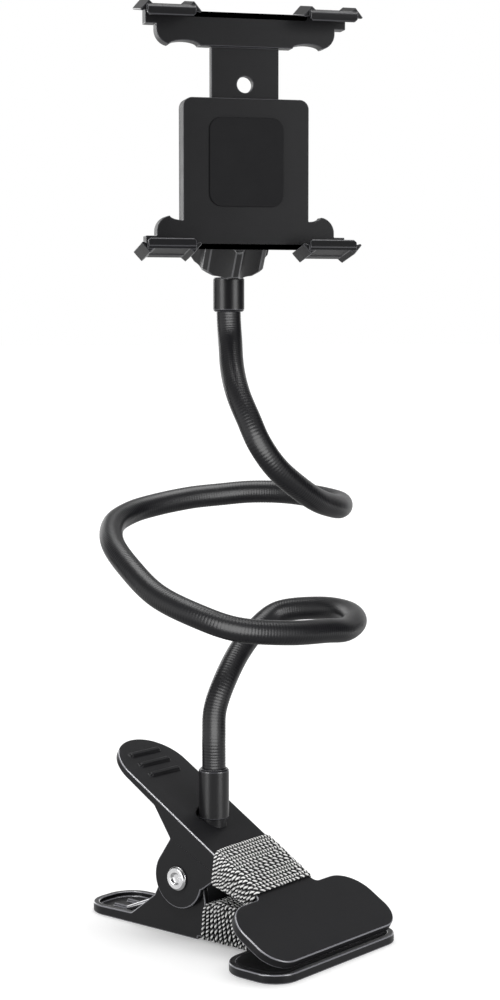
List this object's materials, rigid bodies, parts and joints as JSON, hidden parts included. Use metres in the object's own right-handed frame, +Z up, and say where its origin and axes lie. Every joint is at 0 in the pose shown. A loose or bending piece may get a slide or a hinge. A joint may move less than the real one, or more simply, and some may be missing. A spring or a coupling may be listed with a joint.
{
  "type": "clip-on device holder",
  "caption": "Clip-on holder: sprung clamp, bendable neck and a swivelling cradle whose spring-loaded claws grip a slim device.",
  "frame": {"origin": "on the table, straight below the clamp's pivot, at the underside of the lower jaw", "axes": "+Z up; the cradle faces -Y; the clamp's jaws point to the right and forward, 54 degrees clockwise from +X seen from above"},
  "size_m": [0.0935, 0.1075, 0.3079],
  "materials": {
    "jaw_plastic": "fine satin moulding grain, near black",
    "rivet_steel": "bright plated steel",
    "spring_steel": "bright spring wire",
    "liner_rubber": "matt black",
    "marl_cord": "black and white twisted cord, wound side by side",
    "screw_steel": "plated",
    "ferrule_metal": "satin black coat",
    "neck_sheath": "satin black ribbed sheath over two wound wires",
    "ball_chrome": "polished",
    "seat_plastic": "natural white, low friction",
    "nut_plastic": "satin black",
    "cradle_plastic": "satin black",
    "pad_rubber": "matt black"
  },
  "bodies": {
    "lower_clamp": {"lower_jaw": "jaw_plastic", "hinge_rivet": "rivet_steel", "torsion_spring": "spring_steel", "lower_liner": "liner_rubber", "lower_sleeve": "marl_cord"},
    "upper_clamp": {"upper_jaw": "jaw_plastic", "upper_liner": "liner_rubber", "upper_sleeve": "marl_cord", "base_screw": "screw_steel", "base_washer": "screw_steel", "base_ferrule": "ferrule_metal", "gooseneck": "neck_sheath", "top_ferrule": "ferrule_metal"},
    "stud": {"ball_stud": "ball_chrome"},
    "seat": {"ball_seat": "seat_plastic"},
    "cradle": {"rear_cover": "cradle_plastic", "cover_screws": "screw_steel", "cradle_base": "cradle_plastic", "face_pad": "pad_rubber", "claw_pad_lower_left": "pad_rubber", "claw_pad_lower_right": "pad_rubber", "claw_spring_left": "spring_steel", "claw_spring_right": "spring_steel"},
    "nut": {"locking_nut": "nut_plastic"},
    "slider": {"cradle_slider": "cradle_plastic", "claw_pad_upper_left": "pad_rubber", "claw_pad_upper_right": "pad_rubber"}
  },
  "joints": [
    {"name": "jaw_hinge", "type": "hinge", "parent": "lower_clamp", "child": "upper_clamp", "pos_m": [0, 0, 0.02049], "axis": [-0.809, -0.5878, 0], "range_deg": [0, 40], "stiffness_Nm_per_rad": 0.8, "springref_deg": -45.84, "deforming": ["torsion_spring"]},
    {"name": "ball_swivel", "type": "hinge", "parent": "upper_clamp", "child": "stud", "pos_m": [0.006, -0.009, 0.2315], "axis": [0, 0, 1], "continuous": true},
    {"name": "head_tilt", "type": "hinge", "parent": "stud", "child": "seat", "pos_m": [0.006, -0.009, 0.2315], "axis": [1, 0, 0], "range_deg": [-70, 0]},
    {"name": "head_roll", "type": "hinge", "parent": "seat", "child": "cradle", "pos_m": [0.006, -0.009, 0.2315], "axis": [0, -0.6428, 0.766], "continuous": true},
    {"name": "lock_nut_turn", "type": "hinge", "parent": "cradle", "child": "nut", "pos_m": [0.006, -0.009, 0.2315], "axis": [0, -0.6428, 0.766], "continuous": true},
    {"name": "cradle_slide", "type": "slide", "parent": "cradle", "child": "slider", "axis": [0, 0, 1], "range_m": [-0.0145, 0.0145], "deforming": ["claw_spring_left", "claw_spring_right"]}
  ]
}
